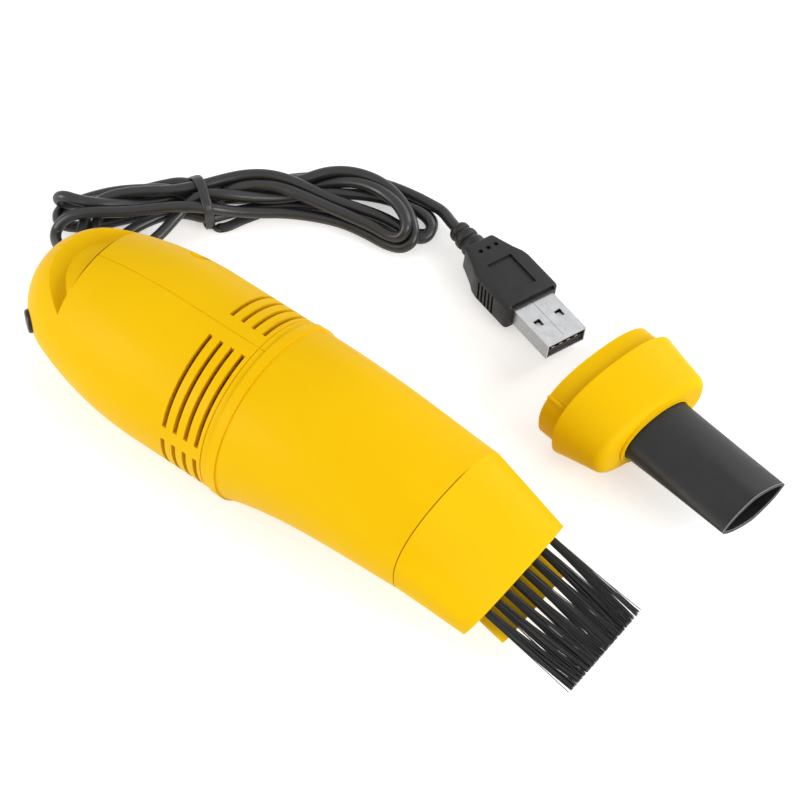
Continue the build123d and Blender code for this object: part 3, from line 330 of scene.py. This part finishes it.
# each: name, colour, roughness, and the stretch that lays its drawn lines
STEEL = metal("motor_steel", (0.60, 0.61, 0.63), 0.3, (1.0, 14.0, 14.0))
BRASS = metal("contact_brass", (0.62, 0.47, 0.24), 0.32, (1.0, 8.0, 1.0))
ARMATURE = metal("armature_steel", (0.34, 0.29, 0.24), 0.45, (14.0, 1.0, 1.0))
SCREEN = cloth("filter_cloth", (0.80, 0.80, 0.78))

FINISHES = {
    "housing_right": HOUSING, "housing_left": HOUSING, "dust_cup": CUP, "brush_head": YELLOW,
    "spare_nozzle_cap": YELLOW, "spare_nozzle_tube": TUBE, "switch_button": BUTTON, "switch_body": BUTTON,
    "cord_gland": RUBBER, "seal_ring": RUBBER, "usb_overmold": PLUG, "usb_shell": NICKEL,
    "usb_insulator": PLUG, "usb_contacts": BRASS, "motor_can": STEEL, "motor_end_cap": WHITE,
    "motor_terminals": BRASS, "motor_magnets": FERRITE, "motor_shaft": STEEL, "motor_armature": ARMATURE,
    "motor_mount": YELLOW, "fan_impeller": YELLOW, "fan_shroud": YELLOW, "filter_frame": WHITE,
    "filter_mesh": SCREEN, "housing_screws": STEEL, "bristle_tufts": BRISTLE, "cord_lead": JACKET,
    "cord_tail": JACKET, "cord_hank": JACKET, "cord_tie": TIE,
}


def dress(piece, material):
    piece.data.materials.clear()
    piece.data.materials.append(material)


for name, material in FINISHES.items():
    dress(nodes[name], material)


# ---------------------------------------------------------------- mesh helpers

SECTION_POINTS = 14
SECTION_POWER = 3.0


def mesh_piece(name, points, faces, material, body, slot, smooth=True):
    """A mesh object, in metres, that rides on a body and takes the given material; the slot is not used."""
    mesh = bpy.data.meshes.new(name)
    mesh.from_pydata([tuple(p) for p in points], [], faces)
    mesh.validate()
    piece = bpy.data.objects.new(name, mesh)
    bpy.context.scene.collection.objects.link(piece)
    dress(piece, material)
    if smooth:
        mesh.shade_smooth()
    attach(piece, body)
    return piece


def apply_modifiers(piece):
    """Replaces the piece's mesh by what its modifiers make of it."""
    bpy.context.view_layer.update()
    made = bpy.data.meshes.new_from_object(piece.evaluated_get(bpy.context.evaluated_depsgraph_get()))
    piece.modifiers.clear()
    piece.data = made


def nurbs_curve(name, points, resolution):
    """Curve data of one open NURBS spline, led by the points and ending at the first and the last."""
    data = bpy.data.curves.new(name, "CURVE")
    data.dimensions = "3D"
    data.resolution_u = resolution
    spline = data.splines.new("NURBS")
    spline.points.add(len(points) - 1)
    for place, p in zip(spline.points, points):
        place.co = (*p, 1.0)
    spline.order_u = 3
    spline.use_endpoint_u = True
    return data


def smooth_line(points):
    """Points along a NURBS spline that the given ones lead, in metres."""
    data = nurbs_curve("line", points, 8)
    holder = bpy.data.objects.new("line", data)
    mesh = bpy.data.meshes.new_from_object(holder)
    line = [v.co.copy() for v in mesh.vertices]
    bpy.data.objects.remove(holder)
    bpy.data.curves.remove(data)
    bpy.data.meshes.remove(mesh)
    return line


def sweep(line, section, first, turn=None, taper=None):
    """Points and faces of a section carried along an open line.

    first is the section's first direction; turn and taper give its twist and size along the line.
    """
    points, faces = [], []
    side = Vector(first)
    last = len(line) - 1
    for i, p in enumerate(line):
        way = (line[min(i + 1, last)] - line[max(i - 1, 0)]).normalized()
        side = (side - way * side.dot(way)).normalized()
        other = way.cross(side)
        angle = turn(i / last) if turn else 0.0
        size = taper(i / last) if taper else 1.0
        for x, y in section:
            u = x * math.cos(angle) - y * math.sin(angle)
            v = x * math.sin(angle) + y * math.cos(angle)
            points.append(p + (side * u + other * v) * size)
    ring = len(section)
    for i in range(last):
        a, b = i * ring, (i + 1) * ring
        for j in range(ring):
            k = (j + 1) % ring
            faces.append((a + j, a + k, b + k, b + j))
    faces.append(tuple(reversed(range(ring))))
    faces.append(tuple(range(last * ring, (last + 1) * ring)))
    return points, faces


def rounded_section(wide, high):
    """Rounded flat section, in metres."""
    made = []
    for i in range(SECTION_POINTS):
        t = 2 * math.pi * i / SECTION_POINTS
        c, s = math.cos(t), math.sin(t)
        made.append((
            wide / 2 * math.copysign(abs(c) ** (2 / SECTION_POWER), c),
            high / 2 * math.copysign(abs(s) ** (2 / SECTION_POWER), s),
        ))
    return made


def joined(parts):
    """Several pairs of points and faces as one."""
    points, faces = [], []
    for more, around in parts:
        faces += [tuple(i + len(points) for i in face) for face in around]
        points += more
    return points, faces


# ---------------------------------------------------------------- lead and hank

cord_data = nurbs_curve("usb_lead", metres(ROUTE), 10)
cord_data.bevel_depth = CORD_RADIUS
cord_data.bevel_resolution = 6
cord_data.use_fill_caps = True
usb_lead = bpy.data.objects.new("usb_lead", cord_data)
bpy.context.scene.collection.objects.link(usb_lead)
cord_data.materials.append(JACKET)
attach(usb_lead, "body")
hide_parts("cord_lead", "cord_hank", "cord_tail")

# The wire tie round the waist of the hank: a loop, whose points are given across the hank, above
# the table and along the hank from its middle, and two ends that twist and then lie along the hank
tie_turn = math.radians(52.0)
tie_left = Vector((-math.sin(tie_turn), math.cos(tie_turn), 0.0))
tie_forward = Vector((math.cos(tie_turn), math.sin(tie_turn), 0.0))
tie_middle = Vector((-62.4, 49.8, 0.0))
TIE_LOOP = (
    (-1.9, 11.1, 0.0), (0.8, 11.1, -0.2), (3.4, 9.5, -0.6), (5.9, 6.3, -1.0), (8.4, 2.9, -1.2),
    (8.8, 0.9, -1.0), (6.6, 0.45, -0.6), (3.0, 0.45, 0.0), (-1.0, 0.45, 0.2), (-5.2, 0.5, 0.4),
    (-7.8, 2.3, 0.5), (-8.0, 5.6, 0.4), (-8.1, 9.6, 0.2), (-5.9, 11.0, 0.0), (-1.9, 11.1, 0.0),
    (0.2, 11.1, 0.0),
)
TIE_LONG_END = (
    (-58.6, 47.2, 3.4), (-58.2, 46.6, 1.9), (-57.2, 46.3, 1.3), (-55.8, 46.6, 1.3), (-54.2, 47.6, 1.3),
    (-53.0, 49.4, 1.4), (-52.0, 51.9, 1.5), (-50.6, 54.2, 1.9), (-49.3, 56.0, 2.3),
)
TIE_SHORT_END = (
    (-59.0, 47.6, 3.6), (-58.8, 46.9, 2.2), (-57.9, 46.5, 1.6), (-56.6, 46.2, 1.4), (-55.2, 46.4, 1.35),
    (-53.9, 47.0, 1.4),
)
TIE_TWIST, TIE_TWISTED_PART = 4.5, 0.45


def tie_twist(start):
    """The turn of an end along its length, in radians: it grows over the first part and then stays."""
    return lambda t: start + TIE_TWIST * min(t, TIE_TWISTED_PART) / TIE_TWISTED_PART


loop = [
    (tie_middle + tie_left * across + tie_forward * ahead + Vector((0.0, 0.0, above))) * MM
    for across, above, ahead in TIE_LOOP
]
band = rounded_section(2.5 * MM, 0.85 * MM)
tie_parts = [sweep(smooth_line(loop), band, tie_forward)]
for route, start in ((TIE_LONG_END, 0.0), (TIE_SHORT_END, 1.6)):
    tie_parts.append(sweep(smooth_line(metres(route)), band, (0, 0, 1), turn=tie_twist(start)))
hank_tie = mesh_piece("hank_tie", *joined(tie_parts), TIE, "body", "tie_wire")
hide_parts("cord_tie")


# ---------------------------------------------------------------- USB plug

PLUG_HALF_WIDE = 8.0
PLUG_HALF_HIGH = 3.8
SOFT_EDGE = 0.9
GRIP_GROOVES = 5
GRIP_PITCH = 1.35
GRIP_SIDE = 8.6
GRIP_DEEP = 1.1
RELIEF_TURNS = 36


def loose_object(name, points, faces):
    """An object made from points in millimetres, which isn't a piece yet."""
    mesh = bpy.data.meshes.new(name)
    mesh.from_pydata([tuple(p) for p in metres(points)], [], faces)
    mesh.validate()
    made = bpy.data.objects.new(name, mesh)
    bpy.context.scene.collection.objects.link(made)
    return made


def face_outward(mesh, place=None):
    """Turns the mesh's faces outward, and takes it to its place if one is given."""
    step = bmesh.new()
    step.from_mesh(mesh)
    bmesh.ops.recalc_face_normals(step, faces=step.faces)
    if place is not None:
        step.transform(place)
    step.to_mesh(mesh)
    step.free()


def block(low, high, skew=0.0):
    """Box between two corners; skew moves its top forward."""
    (x0, y0, z0), (x1, y1, z1) = low, high
    points = [
        (x0, y0, z0), (x1, y0, z0), (x1, y1, z0), (x0, y1, z0),
        (x0 + skew, y0, z1), (x1 + skew, y0, z1), (x1 + skew, y1, z1), (x0 + skew, y1, z1),
    ]
    faces = [(0, 3, 2, 1), (4, 5, 6, 7), (0, 1, 5, 4), (1, 2, 6, 5), (2, 3, 7, 6), (3, 0, 4, 7)]
    return points, faces


def drum(middle, radius, depth, axis="z", squash=1.0, count=20):
    """Short cylinder about an axis of the plug; squash scales it across."""
    points = []
    for end in (-depth / 2, depth / 2):
        for i in range(count):
            t = 2 * math.pi * i / count
            a, b = radius * math.cos(t), radius * squash * math.sin(t)
            offset = {"z": (a, b, end), "y": (a, end, b)}[axis]
            points.append(tuple(m + o for m, o in zip(middle, offset)))
    faces = [tuple(range(count)), tuple(reversed(range(count, 2 * count)))]
    faces += [(i, (i + 1) % count, (i + 1) % count + count, i + count) for i in range(count)]
    return points, faces


def cut(piece, shapes):
    """Takes each shape out of the piece."""
    for points, faces in shapes:
        tool = loose_object("cutter", points, faces)
        face_outward(tool.data)
        boolean = piece.modifiers.new("cut", "BOOLEAN")
        boolean.operation, boolean.object, boolean.solver = "DIFFERENCE", tool, "EXACT"
        apply_modifiers(piece)
        bpy.data.objects.remove(tool)


# one side of the body's outline from above, from its front to its neck, in millimetres
plan = [
    (-13.6, PLUG_HALF_WIDE - 0.4), (-14.6, PLUG_HALF_WIDE), (-20.0, PLUG_HALF_WIDE),
    (-25.6, PLUG_HALF_WIDE), (-27.6, PLUG_HALF_WIDE - 0.4), (-30.0, PLUG_HALF_WIDE - 1.6),
    (-33.4, PLUG_HALF_WIDE - 2.9), (-36.0, 4.2),
]
outline = plan + [(x, -y) for x, y in reversed(plan)]
count = len(outline)
body_points = [(x, y, z) for z in (-PLUG_HALF_HIGH, PLUG_HALF_HIGH) for x, y in outline]
body_faces = [tuple(range(count)), tuple(reversed(range(count, 2 * count)))]
body_faces += [(i, i + count, (i + 1) % count + count, (i + 1) % count) for i in range(count)]
plug_body = loose_object("plug_body", body_points, body_faces)
soften = plug_body.modifiers.new("soften", "BEVEL")
soften.width, soften.segments = SOFT_EDGE * MM, 4
soften.limit_method, soften.angle_limit = "ANGLE", math.radians(30)
apply_modifiers(plug_body)

# cut from the body: slanting grip grooves down both sides, three dots on top, a sunk panel on the top
# and one underneath, the socket round the shell, a step along the top's front edge, and a recess on
# each side of the neck
grooves = [
    block(
        (-25.0 + GRIP_PITCH * i, side * GRIP_SIDE - GRIP_DEEP, -3.1),
        (-24.35 + GRIP_PITCH * i, side * GRIP_SIDE + GRIP_DEEP, 2.7),
        skew=-0.5,
    )
    for i in range(GRIP_GROOVES)
    for side in (1, -1)
]
dots = [drum((-32.5, y, 3.9), 0.6, 1.8) for y in (-2.0, 0.4, 2.8)]
panels = [block((-28.0, -3.5, z - 0.6), (-17.6, 3.9, z + 0.6)) for z in (PLUG_HALF_HIGH, -PLUG_HALF_HIGH)]
socket = [block((-18.6, -6.04, -2.29), (-13.0, 6.04, 2.29))]
lip = [block((-14.3, -6.6, 2.9), (-13.0, 6.6, 4.4))]
recesses = [drum((-30.9, side * 7.35, 0.0), 1.0, 1.6, "y", 2.1) for side in (1, -1)]
cut(plug_body, grooves + dots + panels + socket + lip + recesses)

# x and radius of the ringed relief, which is turned about the plug's axis
profile = [
    (-35.0, 0.0), (-35.0, 2.9), (-36.0, 3.1), (-36.5, 3.3), (-38.0, 3.3), (-38.4, 3.0), (-38.5, 2.3),
    (-39.1, 2.3), (-39.2, 2.9), (-39.6, 3.15), (-40.9, 3.1), (-41.3, 2.8), (-41.4, 2.15), (-42.0, 2.15),
    (-42.1, 2.6), (-42.5, 2.85), (-43.4, 2.75), (-43.9, 2.4), (-44.2, 1.95), (-44.2, 1.6),
]
relief_points = [
    (x, radius * math.cos(2 * math.pi * i / RELIEF_TURNS), radius * math.sin(2 * math.pi * i / RELIEF_TURNS))
    for x, radius in profile
    for i in range(RELIEF_TURNS)
]
relief_faces = [
    (a + i, a + (i + 1) % RELIEF_TURNS, b + (i + 1) % RELIEF_TURNS, b + i)
    for a, b in ((ring * RELIEF_TURNS, (ring + 1) * RELIEF_TURNS) for ring in range(len(profile) - 1))
    for i in range(RELIEF_TURNS)
]
relief = loose_object("plug_relief", relief_points, relief_faces)
round_off = relief.modifiers.new("round_off", "SUBSURF")
round_off.levels = round_off.render_levels = 1
apply_modifiers(relief)

for piece in (plug_body, relief):
    face_outward(piece.data, PLUG_PLACE)
    dress(piece, PLUG)
    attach(piece, "body")
    piece.data.shade_smooth()
plug_body.data.set_sharp_from_angle(angle=math.radians(32))
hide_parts("usb_overmold")

# ---------------------------------------------------------------- shell's tabs and collar's rib

TAB_MIDDLE = -7.35
TAB_HALF_WIDE = 0.95
TAB_SLOPE = 0.12


def spring_tab(y):
    """Tab pressed down from the window in the shell's top at y, rising towards the front."""
    points, faces = block((-8.35, y - TAB_HALF_WIDE, 1.30), (-6.35, y + TAB_HALF_WIDE, 1.50))
    points = [(x, across, above + TAB_SLOPE * (x - TAB_MIDDLE)) for x, across, above in points]
    return [PLUG_PLACE @ p for p in metres(points)], faces


tabs = joined(spring_tab(y) for y in (-3.25, 3.25))
shell_tabs = mesh_piece("shell_tabs", *tabs, STEEL, "body", "plug_steel", smooth=False)

# short key rib across the spare nozzle's collar
rib_line = [NOZZLE_PLACE @ p for p in metres((x, -15.62, 6.86) for x in (-6.1, -5.8, -4.0, -2.0, 0.1))]
rib_side = NOZZLE_PLACE.to_3x3() @ Vector((0, 0.8, 0.6))
rib = sweep(rib_line, rounded_section(1.0 * MM, 1.4 * MM), rib_side)
mesh_piece("collar_rib", *rib, YELLOW, "body", "yellow_abs")

tuple(metres(ROUTE)[0])

# ---------------------------------------------------------------- bristles

# tufts of nylon filaments, packed round at the foot and running together towards their tips; in
# millimetres, and the factors say how much of a filament's place in its tuft goes into its lean
TUFTS = 8
TUFT_PITCH = 3.55
TUFT_RADIUS = 0.90
TUFT_GATHER = -0.11
FILAMENTS = 76
FILAMENT_LENGTH = 31.2
FILAMENT_RADIUS = 0.112
LEAN_ACROSS, LEAN_UP = 1.8, 0.25
STRAY_TUFTS, STRAY_LEAN = 2, 1.1
GOLDEN_ANGLE = 2.39996

head_way, head_above = pitched(24.0)
tuft_way, tuft_above = pitched(18.5)
head_mouth = Vector((72.2, 0.0, 17.5))
tuft_foot = head_mouth - head_way * 5.0 + head_above * 3.1
dice = random.Random(7)


def bristle(foot, lean, rise, length):
    """Points and faces of one filament, which bends towards its tip and narrows there."""
    line = []
    sway = (dice.uniform(-0.2, 0.2), dice.uniform(-0.2, 0.2))
    for t in (0.0, 0.17, 0.34, 0.51, 0.68, 0.85, 0.985, 1.0):
        across = lean * (0.1 * t + 0.9 * t**2.2) + sway[0] * math.sin(math.pi * t)
        above = rise * (0.4 * t + 0.6 * t**2) + sway[1] * math.sin(math.pi * t)
        line.append((foot + tuft_way * (length * t) + Vector((0, across, 0)) + tuft_above * above) * MM)
    corners = (0.3, 1.87, 3.44, 5.01)
    section = [(FILAMENT_RADIUS * MM * math.cos(a), FILAMENT_RADIUS * MM * math.sin(a)) for a in corners]
    return sweep(line, section, (0, 1, 0), taper=lambda t: 1.0 - 0.15 * t if t < 0.99 else 0.4)


filaments = []
for tuft in range(TUFTS):
    place = (tuft - (TUFTS - 1) / 2) * TUFT_PITCH
    drift = TUFT_GATHER * place + dice.gauss(0, 0.15)
    for k in range(FILAMENTS):
        reach = TUFT_RADIUS * math.sqrt((k + 0.5) / FILAMENTS)
        angle = k * GOLDEN_ANGLE
        across, above = reach * math.cos(angle), reach * math.sin(angle)
        foot = tuft_foot + Vector((0, place + across, 0)) + tuft_above * above
        lean = drift + across * LEAN_ACROSS + dice.gauss(0, 0.42)
        rise = above * LEAN_UP + dice.gauss(0, 0.20)
        # the last filament of the first tufts strays from the rest
        if k == FILAMENTS - 1 and tuft < STRAY_TUFTS:
            lean -= STRAY_LEAN
        filaments.append(bristle(foot, lean, rise, FILAMENT_LENGTH + dice.uniform(-0.2, 0.12)))
bristles = mesh_piece("bristles", *joined(filaments), BRISTLE, "head", "bristle")
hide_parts("bristle_tufts")

# ---------------------------------------------------------------- floor, light and camera

FLOOR_HALF = 4
FLOOR_LIFT = 0.50
SKY_LIGHT, SKY_SEEN = 0.53, 1.0
LIGHT_TARGET = (0.0, 0.02, 0.02)
LIGHT_SIZE = 0.5
# each: name, place and power in watts
SOFTBOXES = (
    ("left", (-0.60, -0.75, 0.35), 6.0),
    ("right", (0.85, 0.05, 0.50), 5.6),
    ("back", (0.30, 0.90, 0.45), 3.8),
)
CAMERA_LENS, CAMERA_SENSOR = 171.2, 36.0
CAMERA_AZIMUTH, CAMERA_ELEVATION = 37.777, 54.605
CAMERA_PLACE = (0.34089, -0.38939, 0.75369)


def seen_white(tree):
    """1 for the camera's own rays and for those that metal or glass send on."""
    rays = tree.nodes.new("ShaderNodeLightPath")
    last = rays.outputs["Is Camera Ray"]
    for name in ("Is Glossy Ray", "Is Transmission Ray"):
        node = tree.nodes.new("ShaderNodeMath")
        node.operation = "MAXIMUM"
        tree.links.new(last, node.inputs[0])
        tree.links.new(rays.outputs[name], node.inputs[1])
        last = node.outputs[0]
    return last


def pale_floor():
    """White floor that keeps the shadows and is lifted to white where the camera sees it lit."""
    material = bpy.data.materials.new("floor")
    material.use_nodes = True
    tree = material.node_tree
    shader = tree.nodes["Principled BSDF"]
    shader.inputs["Base Color"].default_value = (0.80, 0.80, 0.80, 1.0)
    shader.inputs["Roughness"].default_value = 0.9
    shader.inputs["Specular IOR Level"].default_value = 0.1
    white = tree.nodes.new("ShaderNodeMath")
    white.operation = "MULTIPLY"
    white.inputs[1].default_value = FLOOR_LIFT
    tree.links.new(seen_white(tree), white.inputs[0])
    shader.inputs["Emission Color"].default_value = (1.0, 1.0, 1.0, 1.0)
    tree.links.new(white.outputs[0], shader.inputs["Emission Strength"])
    return material


def softbox(name, place, power):
    """Square area light that faces the object."""
    lamp = bpy.data.lights.new(name, "AREA")
    lamp.shape, lamp.size, lamp.energy = "SQUARE", LIGHT_SIZE, power
    holder = bpy.data.objects.new(name, lamp)
    bpy.context.scene.collection.objects.link(holder)
    holder.location = place
    holder.rotation_mode = "QUATERNION"
    holder.rotation_quaternion = (Vector(LIGHT_TARGET) - Vector(place)).to_track_quat("-Z", "Y")


floor_mesh = bpy.data.meshes.new("floor")
corners = [(x * FLOOR_HALF, y * FLOOR_HALF, 0) for x, y in ((-1, -1), (1, -1), (1, 1), (-1, 1))]
floor_mesh.from_pydata(corners, [], [(0, 1, 2, 3)])
floor = bpy.data.objects.new("floor", floor_mesh)
bpy.context.scene.collection.objects.link(floor)
floor_mesh.materials.append(pale_floor())

world = bpy.data.worlds.new("studio")
bpy.context.scene.world = world
world.use_nodes = True
sky = world.node_tree
background = sky.nodes["Background"]
background.inputs["Color"].default_value = (1.0, 1.0, 1.0, 1.0)
level = sky.nodes.new("ShaderNodeMapRange")
level.inputs["To Min"].default_value = SKY_LIGHT
level.inputs["To Max"].default_value = SKY_SEEN
sky.links.new(seen_white(sky), level.inputs["Value"])
sky.links.new(level.outputs["Result"], background.inputs["Strength"])

for name, place, power in SOFTBOXES:
    softbox(name, place, power)

camera_data = bpy.data.cameras.new("camera")
camera_data.lens = CAMERA_LENS
camera_data.sensor_width = CAMERA_SENSOR
camera_data.clip_start, camera_data.clip_end = 0.05, 20.0
camera = bpy.data.objects.new("camera", camera_data)
bpy.context.scene.collection.objects.link(camera)
azimuth, elevation = math.radians(CAMERA_AZIMUTH), math.radians(CAMERA_ELEVATION)
right = Vector((math.cos(azimuth), math.sin(azimuth), 0.0))
back = Vector((
    math.sin(azimuth) * math.cos(elevation),
    -math.cos(azimuth) * math.cos(elevation),
    math.sin(elevation),
))
turned = Matrix((right, back.cross(right), back)).transposed().to_4x4()
turned.translation = CAMERA_PLACE
camera.matrix_world = turned
bpy.context.scene.camera = camera
bpy.context.scene.view_settings.view_transform = "Standard"
